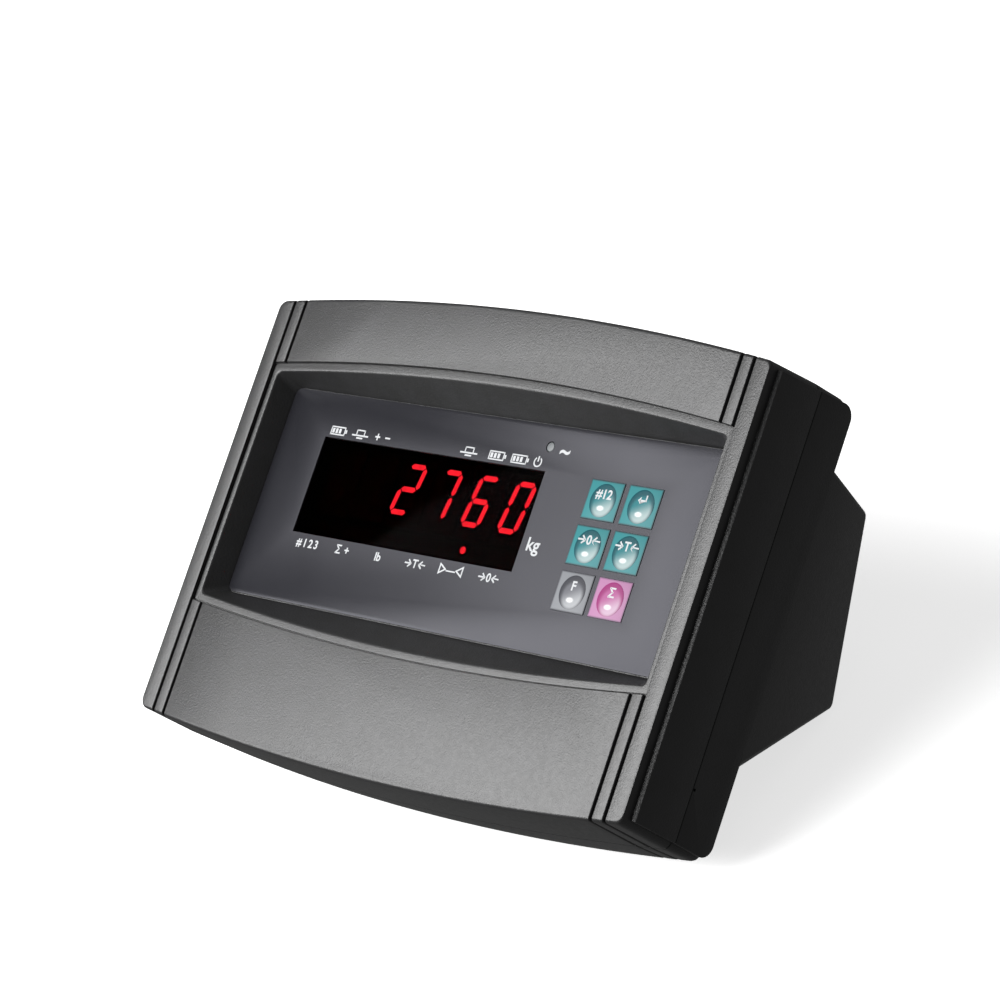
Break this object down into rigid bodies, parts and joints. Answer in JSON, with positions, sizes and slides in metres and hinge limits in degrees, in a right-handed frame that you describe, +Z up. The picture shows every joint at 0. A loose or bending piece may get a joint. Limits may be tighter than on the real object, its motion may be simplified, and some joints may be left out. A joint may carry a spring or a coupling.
{
  "type": "weighing indicator",
  "caption": "Desk-top weighing indicator: the read-out head of a pallet scale, with a red numeric display, a recessed keypad and a bulged back for battery and sockets.",
  "frame": {"origin": "on the table, under the middle of the object", "axes": "+Z up, +X to the reader's right, -Y towards the reader; the face leans back"},
  "size_m": [0.2568, 0.1726, 0.1476],
  "materials": {
    "housing": "fine spark-eroded texture",
    "overlay": "satin printed polycarbonate film",
    "window": "dark red-tinted gloss",
    "lamp": "milky lens, unlit",
    "led_module": "dark epoxy",
    "circuit_board": "solder resist",
    "plated_steel": "zinc plated",
    "socket_shell": "tin plated",
    "black_plastic": "satin",
    "ribbon": "satin",
    "lamination": "varnished",
    "winding": "taped winding",
    "battery": "satin",
    "rubber": "matte",
    "key_teal": "gloss print",
    "key_grey": "gloss print",
    "key_pink": "gloss print",
    "rocker_red": "gloss"
  },
  "bodies": {
    "case": {"front_housing": "housing", "rear_housing": "housing", "keypad_overlay": "overlay", "display_window": "window", "ac_lamp": "lamp", "status_lamps": "led_module", "display_board": "circuit_board", "main_board": "circuit_board", "adc_shield": "plated_steel", "buzzer": "black_plastic", "ribbon_cable": "ribbon", "transformer_core": "lamination", "transformer_winding": "winding", "battery": "battery", "mains_inlet": "black_plastic", "power_switch_body": "black_plastic", "fuse_holder": "black_plastic", "load_cell_socket": "socket_shell", "load_cell_socket_jackscrew_left": "plated_steel", "load_cell_socket_jackscrew_right": "plated_steel", "serial_socket": "socket_shell", "serial_socket_jackscrew_left": "plated_steel", "serial_socket_jackscrew_right": "plated_steel", "battery_cover": "housing", "battery_cover_screw_left": "plated_steel", "battery_cover_screw_right": "plated_steel", "digit_1": "led_module", "digit_2": "led_module", "digit_3": "led_module", "digit_4": "led_module", "digit_5": "led_module", "digit_6": "led_module", "switch_count": "black_plastic", "switch_enter": "black_plastic", "switch_zero": "black_plastic", "switch_tare": "black_plastic", "switch_function": "black_plastic", "switch_total": "black_plastic", "case_screw_1": "plated_steel", "case_screw_2": "plated_steel", "case_screw_3": "plated_steel", "case_screw_4": "plated_steel", "rubber_foot_1": "rubber", "rubber_foot_2": "rubber", "rubber_foot_3": "rubber", "rubber_foot_4": "rubber"},
    "count_key": {"key_count": "key_teal", "plunger_count": "black_plastic"},
    "enter_key": {"key_enter": "key_teal", "plunger_enter": "black_plastic"},
    "zero_key": {"key_zero": "key_teal", "plunger_zero": "black_plastic"},
    "tare_key": {"key_tare": "key_teal", "plunger_tare": "black_plastic"},
    "function_key": {"key_function": "key_grey", "plunger_function": "black_plastic"},
    "total_key": {"key_total": "key_pink", "plunger_total": "black_plastic"},
    "rocker": {"power_rocker": "rocker_red"}
  },
  "joints": [
    {"name": "count_press", "type": "slide", "parent": "case", "child": "count_key", "axis": [0, 0.5948, -0.8039], "range_m": [0, 0.0005], "stiffness_N_per_m": 3000},
    {"name": "enter_press", "type": "slide", "parent": "case", "child": "enter_key", "axis": [0, 0.5948, -0.8039], "range_m": [0, 0.0005], "stiffness_N_per_m": 3000},
    {"name": "zero_press", "type": "slide", "parent": "case", "child": "zero_key", "axis": [0, 0.5948, -0.8039], "range_m": [0, 0.0005], "stiffness_N_per_m": 3000},
    {"name": "tare_press", "type": "slide", "parent": "case", "child": "tare_key", "axis": [0, 0.5948, -0.8039], "range_m": [0, 0.0005], "stiffness_N_per_m": 3000},
    {"name": "function_press", "type": "slide", "parent": "case", "child": "function_key", "axis": [0, 0.5948, -0.8039], "range_m": [0, 0.0005], "stiffness_N_per_m": 3000},
    {"name": "total_press", "type": "slide", "parent": "case", "child": "total_key", "axis": [0, 0.5948, -0.8039], "range_m": [0, 0.0005], "stiffness_N_per_m": 3000},
    {"name": "power_rock", "type": "hinge", "parent": "case", "child": "rocker", "pos_m": [0.0575, 0.05692, 0.02957], "axis": [1, 0, 0], "range_deg": [0, 20]}
  ]
}
